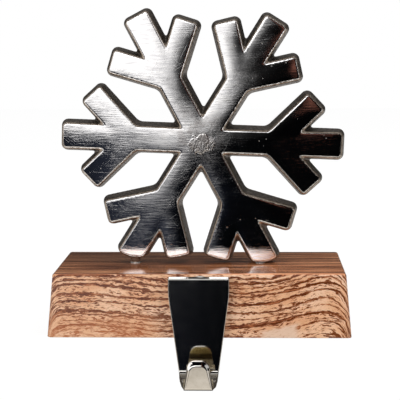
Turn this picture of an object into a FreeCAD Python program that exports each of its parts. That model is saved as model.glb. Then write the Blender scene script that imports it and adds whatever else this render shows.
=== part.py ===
import FreeCAD, Part
import math
import os

os.makedirs("parts", exist_ok=True)

# Mantel stocking holder: a cast snowflake stands on a tapered wooden block, and a cast
# hook lies on the block's front face and hangs below the edge of the shelf.
# Millimetres, +Z up, the front faces -Y. The origin is the middle of the pad's underside,
# which is the face that rests on the shelf.

# Driving dimensions of the wooden block
block_width = 120.0
block_depth = 57.3
block_height = 25.1
block_taper = 2.15
block_corner_radius = 1.6
block_top_edge_radius = 1.0
block_bottom_edge_radius = 0.4

# Driving dimensions of the pad under the block
pad_thickness = 0.8
pad_inset = 6.0
pad_corner_radius = 3.0

# Driving dimensions of the snowflake
arm_count = 6
arm_length = 58.05
stem_half_width = 6.53
branch_start = 28.5
branch_length = 25.7
branch_half_width = 6.27
branch_angle = 45.6
tip_corner_radius = 2.85
casting_thickness = 9.6
side_wall_height = 8.2
side_draft = 1.3
edge_bevel_width = 0.6
edge_bevel_height = 0.5
branch_crown_drop = 0.12
foot_trim = 0.95
lean_angle = 2.3
casting_centre_x = 0.7
casting_front_y = -5.0
foot_contact_gap = 0.02

# Driving dimensions of the snowflake's screws and washers
foot_screw_radius = 2.0
foot_screw_engagement = 8.0
foot_screw_head_radius = 3.9
foot_screw_head_height = 2.6
foot_screw_head_rounding = 0.9
foot_hole_extra_depth = 1.5
wood_left_under_foot = 12.0
washer_outer_radius = 5.0
washer_thickness = 1.0
washer_bore_clearance = 0.2
thread_clearance = 0.05
screw_hole_clearance = 0.3
counterbore_clearance = 0.6

# Driving dimensions of the hook
hook_centre_x = 0.1
plate_top_thickness = 5.0
plate_low_thickness = 3.4
plate_top_drop = 0.5
plate_top_width = 23.9
plate_bottom_width = 14.6
plate_straight_height = 7.0
plate_side_blend_radius = 30.0
plate_top_edge_radius = 0.5
plate_below_block_top = 0.7
gate_mark_width = 6.0
gate_mark_height = 0.3
gate_mark_thickness = 1.4
gate_mark_setback = 0.3
gate_mark_offset_x = 0.5
hook_drop = 16.2
floor_thickness = 2.4
floor_shoulder_width = 13.4
floor_shoulder_run = 4.0
floor_shoulder_radius = 4.0
cradle_gap = 12.8
cradle_inner_radius = 2.0
rear_bend_radius = 3.6
front_bend_radius = 1.6
tongue_thickness = 2.8
tongue_height = 11.8
tongue_flare = 0.8
tongue_offset_x = 0.3
tongue_bottom_width = 11.3
tongue_top_width = 7.9
tongue_arch_radius = 3.5
tongue_foot_bevel = 0.3
tongue_side_bevel = 1.1
tongue_top_bevel = 1.8
tongue_bevel_depth = 0.9
tongue_lip_radius = 1.1

# Driving dimensions of the hook's flange under the block
flange_length = 20.0
flange_width = 12.5
flange_thickness = 2.8
flange_corner_radius = 3.0
flange_flush_depth = 0.2
flange_side_clearance = 0.3
hook_screw_count = 2
hook_screw_first = 6.5
hook_screw_pitch = 8.0
hook_screw_radius = 1.6
hook_screw_head_radius = 3.1
hook_screw_length = 15.0
hook_screw_tip_length = 3.0
hook_hole_clearance = 0.15

# Driving dimensions of the cross recesses in the screw heads
cross_slot_width = 0.9
cross_slot_share = 0.62
cross_slot_depth = 1.2

# How far a cutting or masking body reaches past what it cuts
reach_past = 1.0

# Places that follow from the driving dimensions
wood_bottom_z = pad_thickness
wood_top_z = wood_bottom_z + block_height
face_slope = block_taper / block_height
face_angle = math.atan(face_slope)
lean = math.radians(lean_angle)
sector_half_angle = math.pi / arm_count
casting_rear_y = casting_front_y + casting_thickness
casting_mid_y = (casting_front_y + casting_rear_y) / 2
foot_drop = arm_length * math.cos(sector_half_angle) - foot_trim
foot_outer_x = (arm_length - foot_drop * math.cos(sector_half_angle)) / math.sin(sector_half_angle)
foot_rise = foot_contact_gap + foot_outer_x * math.sin(lean)
casting_centre_z = wood_top_z + foot_rise + foot_drop * math.cos(lean)
foot_hole_depth = foot_screw_engagement + foot_hole_extra_depth
foot_screw_x = (foot_drop - foot_hole_depth / 2) * math.tan(sector_half_angle)
screw_seat_depth = wood_left_under_foot + foot_rise
hook_low_z = wood_bottom_z - hook_drop
hook_top_z = wood_top_z - plate_below_block_top
floor_top_z = hook_low_z + floor_thickness
hook_screw_straight = hook_screw_length - hook_screw_tip_length
X_AXIS = FreeCAD.Vector(1, 0, 0)
Y_AXIS = FreeCAD.Vector(0, 1, 0)
Z_AXIS = FreeCAD.Vector(0, 0, 1)
ORIGIN = FreeCAD.Vector(0, 0, 0)


def face_y(z):
    """Where the block's front face stands at height z."""
    return -block_depth / 2 + (z - wood_bottom_z) * face_slope


plate_front_low_y = face_y(floor_top_z) - plate_low_thickness
floor_start_y = plate_front_low_y - cradle_inner_radius
tongue_rear_y = plate_front_low_y - cradle_gap
tongue_front_y = tongue_rear_y - tongue_thickness
tongue_centre_x = hook_centre_x + tongue_offset_x


# Drawing helpers

def rounded_loop(points, radii):
    """Closed wire through flat points, each corner rounded by its own radius."""
    count = len(points)
    arcs = []
    for i in range(count):
        corner = points[i]
        before = (points[i - 1] - corner).normalize()
        after = (points[(i + 1) % count] - corner).normalize()
        half_opening = before.getAngle(after) / 2
        reach = radii[i] / math.tan(half_opening)
        inward = (before + after).normalize()
        to_arc = radii[i] / math.sin(half_opening) - radii[i]
        arcs.append((corner + before * reach, corner + inward * to_arc, corner + after * reach))
    edges = []
    for i in range(count):
        start, on_arc, end = arcs[i]
        next_start = arcs[(i + 1) % count][0]
        if radii[i] > 0:
            edges.append(Part.Arc(start, on_arc, end).toShape())
        edges.append(Part.LineSegment(end, next_start).toShape())
    return Part.Wire(edges)


def plan_loop(corners, radii, z):
    """Rounded outline in plan at height z."""
    return rounded_loop([FreeCAD.Vector(x, y, z) for x, y in corners], radii)


def front_loop(corners, radii, y):
    """Rounded outline in front view at depth y."""
    return rounded_loop([FreeCAD.Vector(x, y, z) for x, z in corners], radii)


def box_corners(low_x, high_x, low_v, high_v):
    return [(low_x, low_v), (high_x, low_v), (high_x, high_v), (low_x, high_v)]


def prism(wire, direction):
    return Part.Face(wire).extrude(direction)


def edges_at_height(shape, z):
    """Edges that lie wholly at height z."""
    tolerance = 0.001
    found = []
    for edge in shape.Edges:
        box = edge.BoundBox
        if abs(box.ZMin - z) < tolerance and abs(box.ZMax - z) < tolerance:
            found.append(edge)
    return found


def cross_recess(place, head_radius):
    """Cross slot that is cut upwards into a screw head from its outer face."""
    half_length = head_radius * cross_slot_share
    half_width = cross_slot_width / 2
    slots = []
    for half_x, half_y in ((half_length, half_width), (half_width, half_length)):
        corners = box_corners(place.x - half_x, place.x + half_x, place.y - half_y, place.y + half_y)
        slots.append(prism(plan_loop(corners, [0] * 4, place.z), Z_AXIS * cross_slot_depth))
    return slots[0].fuse(slots[1])


# The snowflake is worked out about its own centre and upright, and leaned at the end.

def leaned(shape):
    """Move a shape from the snowflake's upright frame to its place on the block."""
    centre = FreeCAD.Vector(casting_centre_x, 0, casting_centre_z)
    placed = shape.copy()
    placed.translate(centre)
    placed.rotate(centre, Y_AXIS, lean_angle)
    return placed


def foot_screw_places():
    return [FreeCAD.Vector(side * foot_screw_x, casting_mid_y, -foot_drop) for side in (-1, 1)]


def shaped_side(half_width, thickness):
    """Points of an arm's edge, from beside the wall over the bevel to the crown.

    Each is a distance from the middle and a height above the rear face.
    """
    wall_top = half_width - side_draft
    outside = (wall_top + edge_bevel_width, side_wall_height - edge_bevel_height)
    crown_start = (wall_top - edge_bevel_width, side_wall_height + edge_bevel_height)
    rise = thickness - crown_start[1]
    radius = (crown_start[0] ** 2 + rise**2) / (2 * rise)
    half_turn = math.asin(crown_start[0] / radius) / 2
    crown_middle = (radius * math.sin(half_turn), thickness - radius * (1 - math.cos(half_turn)))
    return outside, crown_start, crown_middle


def cap_face(place, half_width, thickness, flat_run):
    """Cross section of the space that an arm may fill, shaped on one side or on both.

    place turns a distance and a height into a point. A flat run takes the place of the
    second shaped side where it isn't zero.
    """
    outside, start, middle = shaped_side(half_width, thickness)
    top = place(0, thickness)
    foot = place(outside[0], -reach_past)
    edges = [
        Part.LineSegment(foot, place(*outside)).toShape(),
        Part.LineSegment(place(*outside), place(*start)).toShape(),
        Part.Arc(place(*start), place(*middle), top).toShape(),
    ]
    if flat_run > 0:
        far_top = place(-flat_run, thickness)
        far_foot = place(-flat_run, -reach_past)
        edges.append(Part.LineSegment(top, far_top).toShape())
    else:
        far_start = place(-start[0], start[1])
        far_top = place(-outside[0], outside[1])
        far_foot = place(-outside[0], -reach_past)
        edges.append(Part.Arc(top, place(-middle[0], middle[1]), far_start).toShape())
        edges.append(Part.LineSegment(far_start, far_top).toShape())
    edges.append(Part.LineSegment(far_top, far_foot).toShape())
    edges.append(Part.LineSegment(far_foot, foot).toShape())
    return Part.Face(Part.Wire(edges))


def bar(length, half_width, thickness):
    """Drafted and crowned bar along +x, from the centre line to its rounded tip."""
    outlines = []
    for height in (0.0, casting_thickness + reach_past):
        inset = side_draft * height / side_wall_height
        side = half_width - inset
        corners = box_corners(-side, length - inset, -side, side)
        radius = tip_corner_radius - inset
        outlines.append(front_loop(corners, [radius] * 4, casting_rear_y - height))
    block = Part.makeLoft(outlines, True, True)

    def across(distance, height):
        return FreeCAD.Vector(-half_width, casting_rear_y - height, distance)

    def along(distance, height):
        return FreeCAD.Vector(length - half_width + distance, casting_rear_y - height, -half_width)

    across_cap = cap_face(across, half_width, thickness, 0)
    along_cap = cap_face(along, half_width, thickness, length)
    block = block.common(across_cap.extrude(FreeCAD.Vector(length + 2 * half_width, 0, 0)))
    return block.common(along_cap.extrude(Z_AXIS * (2 * half_width)))


def past_the_centre(half_angle):
    """Wedge about +x from the centre line, deeper and longer than any arm."""
    length = 2 * arm_length
    half_height = length * math.tan(half_angle)
    corners = [(0, 0), (length, -half_height), (length, half_height)]
    outline = front_loop(corners, [0] * 3, casting_rear_y + reach_past)
    return prism(outline, -Y_AXIS * (casting_thickness + 2 * reach_past))


def arm():
    """One sixth of the snowflake, about +x: a stem and its two branches."""
    body = bar(arm_length, stem_half_width, casting_thickness)
    body = body.common(past_the_centre(sector_half_angle))
    branch = bar(branch_length, branch_half_width, casting_thickness - branch_crown_drop)
    right_of_axis = box_corners(0, 2 * branch_length, -2 * branch_half_width, 2 * branch_half_width)
    outline = front_loop(right_of_axis, [0] * 4, casting_rear_y + reach_past)
    branch = branch.common(prism(outline, -Y_AXIS * (casting_thickness + 2 * reach_past)))
    for side in (-1, 1):
        piece = branch.copy()
        piece.rotate(ORIGIN, Y_AXIS, side * branch_angle)
        piece.translate(FreeCAD.Vector(branch_start, 0, 0))
        body = body.fuse(piece)
    return body


def foot_cap():
    """Space above the feet's ground ends, where the front falls away as at the arms' edges."""
    wall_top = branch_half_width - side_draft

    def down(distance, height):
        return FreeCAD.Vector(-arm_length, casting_rear_y - height, wall_top - foot_drop - distance)

    cap = cap_face(down, branch_half_width, casting_thickness, 2 * arm_length)
    return cap.extrude(FreeCAD.Vector(2 * arm_length, 0, 0))


def above_ground():
    """Space above the plane to which the feet are ground."""
    corners = box_corners(-arm_length, arm_length, -foot_drop, arm_length)
    outline = front_loop(corners, [0] * 4, casting_rear_y + reach_past)
    return prism(outline, -Y_AXIS * (casting_thickness + 2 * reach_past))


def drilled_hole(place, radius, depth, tip_depth):
    """Blind hole upwards from a place, with the cone that the drill's tip leaves."""
    straight = Part.makeCylinder(radius, depth, place, Z_AXIS)
    tip = Part.makeCone(radius, 0, tip_depth, place + Z_AXIS * depth, Z_AXIS)
    return straight.fuse(tip)


def snowflake():
    one_arm = arm()
    arms = []
    for i in range(arm_count):
        turned = one_arm.copy()
        turned.rotate(ORIGIN, Y_AXIS, i * 360.0 / arm_count)
        arms.append(turned)
    body = arms[0].multiFuse(arms[1:])
    body = body.common(foot_cap()).common(above_ground())
    hole_radius = foot_screw_radius + thread_clearance
    for place in foot_screw_places():
        body = body.cut(drilled_hole(place, hole_radius, foot_hole_depth, hole_radius / 2))
    return leaned(body.removeSplitter())


def washer(place):
    low = place - Z_AXIS * (screw_seat_depth + washer_thickness)
    ring = Part.makeCylinder(washer_outer_radius, washer_thickness, low, Z_AXIS)
    bore = Part.makeCylinder(foot_screw_radius + washer_bore_clearance, washer_thickness, low, Z_AXIS)
    return ring.cut(bore)


def foot_screw(place):
    under_head = place - Z_AXIS * (screw_seat_depth + washer_thickness)
    shank_length = screw_seat_depth + washer_thickness + foot_screw_engagement
    shank = Part.makeCylinder(foot_screw_radius, shank_length, under_head, Z_AXIS)
    outer_face = under_head - Z_AXIS * foot_screw_head_height
    head = Part.makeCylinder(foot_screw_head_radius, foot_screw_head_height, outer_face, Z_AXIS)
    head = head.makeFillet(foot_screw_head_rounding, edges_at_height(head, outer_face.z))
    return head.fuse(shank).cut(cross_recess(outer_face, foot_screw_head_radius)).removeSplitter()


def at_each_foot(make_one):
    return leaned(Part.makeCompound([make_one(place) for place in foot_screw_places()]))


# The wooden block

def hook_screw_places():
    """Middle of each hook screw's head, at the flange's underside."""
    first_y = face_y(wood_bottom_z) + hook_screw_first
    low_z = wood_bottom_z + flange_flush_depth
    ys = [first_y + i * hook_screw_pitch for i in range(hook_screw_count)]
    return [FreeCAD.Vector(hook_centre_x, y, low_z) for y in ys]


def flange_plan(clearance, front_y, z):
    half_width = flange_width / 2 + clearance
    rear_y = face_y(wood_bottom_z) + flange_length + clearance
    corners = box_corners(hook_centre_x - half_width, hook_centre_x + half_width, front_y, rear_y)
    radius = flange_corner_radius + clearance
    return plan_loop(corners, [0, 0, radius, radius], z)


def block_outline(inset, z):
    half_x = block_width / 2 - inset
    half_y = block_depth / 2 - inset
    return plan_loop(box_corners(-half_x, half_x, -half_y, half_y), [block_corner_radius] * 4, z)


def base_block():
    outlines = [block_outline(0, wood_bottom_z), block_outline(block_taper, wood_top_z)]
    body = Part.makeLoft(outlines, True, True)
    body = body.makeFillet(block_bottom_edge_radius, edges_at_height(body, wood_bottom_z))
    body = body.makeFillet(block_top_edge_radius, edges_at_height(body, wood_top_z))
    recess = flange_plan(flange_side_clearance, face_y(wood_bottom_z) - reach_past, wood_bottom_z)
    body = body.cut(prism(recess, Z_AXIS * (flange_flush_depth + flange_thickness)))
    for place in hook_screw_places():
        start = place + Z_AXIS * hook_hole_clearance
        pilot_radius = hook_screw_radius + thread_clearance
        tip_depth = hook_screw_tip_length + thread_clearance
        body = body.cut(drilled_hole(start, pilot_radius, hook_screw_straight, tip_depth))
    for place in foot_screw_places():
        seat = place - Z_AXIS * screw_seat_depth
        hole_radius = foot_screw_radius + screw_hole_clearance
        bore_radius = washer_outer_radius + counterbore_clearance
        hole = Part.makeCylinder(hole_radius, screw_seat_depth + reach_past, seat, Z_AXIS)
        counterbore = Part.makeCylinder(bore_radius, block_height, seat, -Z_AXIS)
        body = body.cut(leaned(hole.fuse(counterbore)))
    return body


# The hook

def hook_strip():
    """Plate, floor and tongue as one bent strip, far wider than the hook."""
    top_front_y = face_y(hook_top_z) - plate_top_thickness
    top_front_z = hook_top_z - plate_top_drop
    corners = [
        (face_y(hook_top_z), hook_top_z, 0),
        (top_front_y, top_front_z, plate_top_edge_radius),
        (plate_front_low_y, floor_top_z, cradle_inner_radius),
        (tongue_rear_y, floor_top_z, cradle_inner_radius),
        (tongue_rear_y, hook_low_z + tongue_height, tongue_lip_radius),
        (tongue_front_y, hook_low_z + tongue_height, tongue_lip_radius),
        (tongue_front_y + tongue_flare, hook_low_z, front_bend_radius),
        (face_y(hook_low_z), hook_low_z, rear_bend_radius),
    ]
    points = [FreeCAD.Vector(hook_centre_x - plate_top_width, y, z) for y, z, radius in corners]
    outline = rounded_loop(points, [radius for y, z, radius in corners])
    return prism(outline, FreeCAD.Vector(2 * plate_top_width, 0, 0))


def plate_mask():
    """Front view of the plate, straight at its top and tapering to the floor's width."""
    high_z = hook_top_z + reach_past
    bend_z = hook_top_z - plate_straight_height
    half_top = plate_top_width / 2
    half_low = plate_bottom_width / 2
    bend = (half_top, bend_z, plate_side_blend_radius)
    half_outline = [(half_top, high_z, 0), bend, (half_low, hook_low_z, 0)]
    mirrored = [(-x, z, radius) for x, z, radius in reversed(half_outline)]
    outline = half_outline + mirrored
    corners = [(hook_centre_x + x, z) for x, z, radius in outline]
    wire = front_loop(corners, [radius for x, z, radius in outline], 0)
    return prism(wire, Y_AXIS * floor_start_y)


def floor_mask():
    """Plan of the cradle's floor, from the plate over its shoulders to the tongue."""
    half_rear = plate_bottom_width / 2
    half_shoulder = floor_shoulder_width / 2
    half_front = tongue_bottom_width / 2
    shoulder_y = tongue_rear_y + floor_shoulder_run
    corners = [
        (hook_centre_x - half_rear, floor_start_y),
        (hook_centre_x + half_rear, floor_start_y),
        (tongue_centre_x + half_shoulder, shoulder_y),
        (tongue_centre_x + half_front, tongue_rear_y),
        (tongue_centre_x - half_front, tongue_rear_y),
        (tongue_centre_x - half_shoulder, shoulder_y),
    ]
    radii = [0, 0, floor_shoulder_radius, 0, 0, floor_shoulder_radius]
    height = floor_thickness + cradle_inner_radius
    return prism(plan_loop(corners, radii, hook_low_z), Z_AXIS * height)


def tongue_outline(y, foot_bevel, side_bevel, top_bevel):
    """Arch-topped front view of the tongue, drawn in by its bevels and open below its foot."""
    half_foot = tongue_bottom_width / 2 - foot_bevel
    half_top = tongue_top_width / 2 - side_bevel
    top_z = hook_low_z + tongue_height - top_bevel
    low_z = hook_low_z - reach_past
    half_low = half_foot + (half_foot - half_top) * reach_past / (top_z - hook_low_z)
    corners = [
        (tongue_centre_x - half_low, low_z),
        (tongue_centre_x + half_low, low_z),
        (tongue_centre_x + half_top, top_z),
        (tongue_centre_x - half_top, top_z),
    ]
    arch = tongue_arch_radius - side_bevel
    return front_loop(corners, [0, 0, arch, arch], y)


def tongue_mask():
    shoulder_y = tongue_front_y + tongue_bevel_depth
    full = tongue_outline(tongue_rear_y, 0, 0, 0)
    straight = prism(full, Y_AXIS * (shoulder_y - tongue_rear_y))
    shoulder = tongue_outline(shoulder_y, 0, 0, 0)
    facet = tongue_outline(tongue_front_y, tongue_foot_bevel, tongue_side_bevel, tongue_top_bevel)
    mask = straight.fuse(Part.makeLoft([shoulder, facet], True, True))
    pivot = FreeCAD.Vector(0, tongue_front_y, hook_low_z + tongue_height)
    mask.rotate(pivot, X_AXIS, math.degrees(math.atan(tongue_flare / tongue_height)))
    return mask


def hook_flange():
    """Flange that runs back under the block from the plate, with its countersunk holes."""
    low_z = wood_bottom_z + flange_flush_depth
    front_y = face_y(low_z) - plate_low_thickness / 2
    body = prism(flange_plan(0, front_y, low_z), Z_AXIS * flange_thickness)
    hole_radius = hook_screw_radius + hook_hole_clearance
    sink_radius = hook_screw_head_radius + hook_hole_clearance
    for place in hook_screw_places():
        hole = Part.makeCylinder(hole_radius, flange_thickness, place, Z_AXIS)
        sink = Part.makeCone(sink_radius, hole_radius, sink_radius - hole_radius, place, Z_AXIS)
        body = body.cut(hole.fuse(sink))
    return body


def gate_mark():
    """Low arc that is left on the plate's top edge where the casting's gate was cut off."""
    half_width = gate_mark_width / 2
    rear_y = face_y(hook_top_z) - gate_mark_setback
    low_z = hook_top_z - gate_mark_height
    middle_x = hook_centre_x + gate_mark_offset_x
    left = FreeCAD.Vector(middle_x - half_width, rear_y, low_z)
    right = FreeCAD.Vector(middle_x + half_width, rear_y, low_z)
    top = FreeCAD.Vector(middle_x, rear_y, hook_top_z + gate_mark_height)
    outline = Part.Wire([Part.LineSegment(left, right).toShape(), Part.Arc(right, top, left).toShape()])
    return prism(outline, -Y_AXIS * gate_mark_thickness)


def hook():
    mask = plate_mask().fuse(floor_mask()).fuse(tongue_mask())
    body = hook_strip().common(mask)
    return body.fuse(gate_mark()).fuse(hook_flange()).removeSplitter()


def hook_screw(place):
    low = place + Z_AXIS * hook_hole_clearance
    head_height = hook_screw_head_radius - hook_screw_radius
    head = Part.makeCone(hook_screw_head_radius, hook_screw_radius, head_height, low, Z_AXIS)
    neck = low + Z_AXIS * head_height
    shank = Part.makeCylinder(hook_screw_radius, hook_screw_straight - head_height, neck, Z_AXIS)
    tip_start = low + Z_AXIS * hook_screw_straight
    tip = Part.makeCone(hook_screw_radius, 0, hook_screw_tip_length, tip_start, Z_AXIS)
    body = head.fuse(shank).fuse(tip)
    return body.cut(cross_recess(low, hook_screw_head_radius)).removeSplitter()


def non_slip_pad():
    half_x = block_width / 2 - pad_inset
    half_y = block_depth / 2 - pad_inset
    corners = box_corners(-half_x, half_x, -half_y, half_y)
    return prism(plan_loop(corners, [pad_corner_radius] * 4, 0), Z_AXIS * pad_thickness)


pieces = {
    "base_block": base_block(),
    "snowflake": snowflake(),
    "hook": hook(),
    "snowflake_screws": at_each_foot(foot_screw),
    "snowflake_washers": at_each_foot(washer),
    "hook_screws": Part.makeCompound([hook_screw(place) for place in hook_screw_places()]),
    "non_slip_pad": non_slip_pad(),
}
for name, shape in pieces.items():
    shape.exportStep(f"parts/{name}.step")
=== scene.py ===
import math

import bpy
import numpy as np
from mathutils import Matrix, Vector


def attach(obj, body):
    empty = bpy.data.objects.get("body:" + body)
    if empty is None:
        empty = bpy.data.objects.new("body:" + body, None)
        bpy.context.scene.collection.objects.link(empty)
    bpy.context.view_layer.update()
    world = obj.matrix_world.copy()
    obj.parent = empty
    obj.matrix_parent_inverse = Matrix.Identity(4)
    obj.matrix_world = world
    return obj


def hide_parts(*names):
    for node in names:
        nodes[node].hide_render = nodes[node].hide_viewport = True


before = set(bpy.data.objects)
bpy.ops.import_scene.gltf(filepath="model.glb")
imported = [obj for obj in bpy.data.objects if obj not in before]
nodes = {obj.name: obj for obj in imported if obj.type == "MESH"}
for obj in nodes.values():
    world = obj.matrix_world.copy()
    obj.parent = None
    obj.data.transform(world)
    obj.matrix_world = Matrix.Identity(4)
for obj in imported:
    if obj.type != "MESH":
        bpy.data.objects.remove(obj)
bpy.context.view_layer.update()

MM = 0.001

# Sizes shared with the solids, in millimetres

# The wooden block, from its foot to its top, and the felt pad under it
wood_low, wood_top, block_depth, block_slope = 0.8, 25.9, 57.3, 2.15 / 25.1
pad_half_x, pad_half_y, pad_thickness, pad_corner = 54.0, 22.65, 0.8, 3.0

# The snowflake, which leans about its own centre until its right foot touches the block
arm_count = 6
arm_length, stem_half, branch_start, branch_length, branch_half = 58.05, 6.53, 28.5, 25.7, 6.27
branch_angle = math.radians(45.6)
tip_radius, casting_thickness, draft, draft_height = 2.85, 9.6, 1.3, 8.2
foot_trim, foot_gap, foot_outer_x = 0.95, 0.02, 30.67
lean, casting_x, casting_rear_y = math.radians(2.3), 0.7, 4.6
foot_drop = arm_length * math.cos(math.pi / 6) - foot_trim
casting_z = wood_top + foot_gap + foot_outer_x * math.sin(lean) + foot_drop * math.cos(lean)

# The hook: a plate on the block's front, the floor of its cradle, a tongue, and a flange below
hook_x, hook_low, floor_thickness = 0.1, -15.4, 2.4
plate_thickness, plate_top_thickness = 3.4, 5.0
plate_top_half, plate_low_half, plate_straight = 11.95, 7.3, 7
cradle_gap, cradle_radius, shoulder_half, shoulder_run = 12.8, 2.0, 6.7, 4
tongue_low_half, tongue_top_half, tongue_height, tongue_thickness = 5.65, 3.95, 11.8, 2.8
tongue_flare, tongue_lip, tongue_arch, front_bend, rear_bend = 0.8, 1.1, 3.5, 1.4, 3.6
flange_half, flange_length, flange_thickness, flange_corner = 6.25, 20, 2.8, 3
flange_screws, flange_hole, flange_sink = (6.5, 14.5), 1.75, 3.25
hook_top, floor_top = wood_top - 0.7, hook_low + floor_thickness

# How the polished face departs from a flat one

# A fit of the face's reflections to the photo's gave crown_rise, rim_lift, the two valley depths,
# face_bends and arm_bends
crown_rise, crown_blend, crown_run = 0.086, 4.0, 4.6
face_edge, rear_edge, foot_edge, notch_blend = 1.05, 0.5, 1.2, 1.3
face_set_back, rim_lift = 0.25, 0.11
upper_valley, lower_valley, valley_half, valley_start, valley_run = 0.347, 0.172, 10, 4, 12
# The face as a whole: power of x, power of z, height at the end of an arm
face_bends = ((1, 0, 0.166), (0, 1, 0.448), (2, 0, -2.221), (0, 2, -1.356), (1, 1, 0.060), (3, 0, -0.167),
              (2, 1, 0.278), (0, 3, -0.351))
# Each arm of the snowflake, from the right one on: its twist and its hollow at a reach from its middle
arm_bends = ((0.072, 0.004), (-0.057, 0.042), (0.113, 0.013), (-0.029, -0.122), (0.016, 0.053),
             (0.197, 0.134))
bend_reach, bend_start, bend_run, bend_half_angle = 10, 8, 22, math.radians(20)
# Low waves from polishing: turn per millimetre along x and z, start and height
face_waves = ((0.11, 0.05, 1.1, 0.022), (-0.06, 0.14, 4.0, 0.020), (0.21, -0.13, 2.2, 0.009),
              (0.09, 0.27, 0.4, 0.007), (-0.31, 0.11, 5.1, 0.004), (0.19, 0.38, 3.3, 0.003))

# The size of the cells from which the surfaces are made
casting_cell, hook_cell = 0.5, 0.22


def smooth_max(a, b, k):
    overlap = np.maximum(k - np.abs(a - b), 0)
    return np.maximum(a, b) + overlap * overlap / (4 * k)


def smooth_min(a, b, k):
    return -smooth_max(-a, -b, k)


def surface_net(field, low, high, cell, steps=4):
    """Quads on the zero surface of a field, with each vertex moved onto the surface."""
    axes = [np.arange(low[i] - cell, high[i] + 2 * cell, cell) for i in range(3)]
    grid = np.meshgrid(*axes, indexing="ij")
    value = field(*grid)
    inside = value < 0
    n = [len(a) - 1 for a in axes]
    total = np.zeros(n, np.int8)
    for i in (0, 1):
        for j in (0, 1):
            for k in (0, 1):
                total += inside[i:n[0] + i, j:n[1] + j, k:n[2] + k]
    active = (total > 0) & (total < 8)
    index = np.full(n, -1, np.int64)
    index[active] = np.arange(active.sum())
    where = np.argwhere(active)
    place = np.zeros((len(where), 3))
    count = np.zeros(len(where))
    corners = [(i, j, k) for i in (0, 1) for j in (0, 1) for k in (0, 1)]
    for a in corners:
        for axis in range(3):
            if a[axis]:
                continue
            b = list(a)
            b[axis] = 1
            va = value[tuple((where + a).T)]
            vb = value[tuple((where + b).T)]
            cross = (va < 0) != (vb < 0)
            share = np.where(cross, va / np.where(cross, va - vb, 1), 0)
            point = np.array(a, float) + np.outer(share, np.eye(3)[axis])
            place += np.where(cross[:, None], point, 0)
            count += cross
    place = where + place / count[:, None]
    origin = np.array([a[0] for a in axes])
    points = origin + place * cell
    e = 0.02   # the step over which a slope is taken

    def slope(p):
        out = np.empty_like(p)
        for axis in range(3):
            step = np.zeros(3)
            step[axis] = e
            out[:, axis] = (field(*(p + step).T) - field(*(p - step).T)) / (2 * e)
        return out

    for _ in range(steps):
        g = slope(points)
        points = points - g * (field(*points.T) / np.maximum((g * g).sum(1), 0.05))[:, None]
    normals = slope(points)
    normals /= np.linalg.norm(normals, axis=1)[:, None]
    quads = []
    for axis in range(3):
        u, v = (axis + 1) % 3, (axis + 2) % 3
        shift = [0, 0, 0]
        shift[axis] = 1
        a = inside[:n[0], :n[1], :n[2]]
        b = inside[shift[0]:n[0] + shift[0], shift[1]:n[1] + shift[1], shift[2]:n[2] + shift[2]]
        edge = np.argwhere(a != b)
        edge = edge[(edge[:, u] > 0) & (edge[:, v] > 0)]
        forward = a[tuple(edge.T)]
        du = np.zeros(3, int)
        du[u] = 1
        dv = np.zeros(3, int)
        dv[v] = 1
        ring = np.stack([index[tuple((edge - m).T)] for m in (du + dv, dv, 0 * du, du)], 1)
        ring[~forward] = ring[~forward][:, ::-1]
        quads.append(ring)
    return points, normals, np.concatenate(quads)


def mesh_piece(name, points, quads, normals):
    """A smooth piece with the field's own normals, from points in millimetres."""
    mesh = bpy.data.meshes.new(name)
    mesh.from_pydata((points * MM).tolist(), [], quads.tolist())
    mesh.polygons.foreach_set("use_smooth", [True] * len(mesh.polygons))
    mesh.normals_split_custom_set_from_vertices(normals.tolist())
    mesh.update()
    piece = bpy.data.objects.new(name, mesh)
    bpy.context.scene.collection.objects.link(piece)
    return piece


# The cast snowflake

def arms(x, z):
    """Places along and across each arm, from the right one on."""
    for i in range(arm_count):
        turn = i * math.pi / 3
        yield x * math.cos(turn) + z * math.sin(turn), -x * math.sin(turn) + z * math.cos(turn)


def bars(x, z):
    """The snowflake's six stems and twelve branches, as places along and across each."""
    for along, across in arms(x, z):
        yield along, across, arm_length, stem_half
        for side in (-1, 1):
            c, s = math.cos(branch_angle), side * math.sin(branch_angle)
            from_start = along - branch_start
            yield from_start * c + across * s, across * c - from_start * s, branch_length, branch_half


def outline(x, z):
    """Distance from the snowflake's rear outline, negative inside."""
    result = None
    for along, across, length, half in bars(x, z):
        near = -half if length == arm_length else 0
        du = np.abs(along - (length + near) / 2) - ((length - near) / 2 - tip_radius)
        dv = np.abs(across) - (half - tip_radius)
        d = np.hypot(np.maximum(du, 0), np.maximum(dv, 0)) + np.minimum(np.maximum(du, dv), 0) - tip_radius
        result = d if result is None else smooth_min(result, d, notch_blend)
    return result


def crown(x, z):
    """How far the polished face has fallen from the middle of the arms to their edges."""
    depth = None
    k = crown_blend
    for along, across, length, half in bars(x, z):
        d = smooth_min(smooth_min(half - across, half + across, k), length - along, k)
        d = smooth_min(d, along + half, k)
        depth = d if depth is None else smooth_max(depth, d, k)
    depth = smooth_min(depth, z + foot_drop + 1.5, k)
    share = np.clip(1 - (depth - draft) / crown_run, 0, 1.6)
    return crown_rise * share * share


def polish_waves(x, z):
    """Low waves that hand polishing leaves in the face."""
    return sum(high * np.sin(u * x + v * z + w) for u, v, w, high in face_waves)


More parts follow.
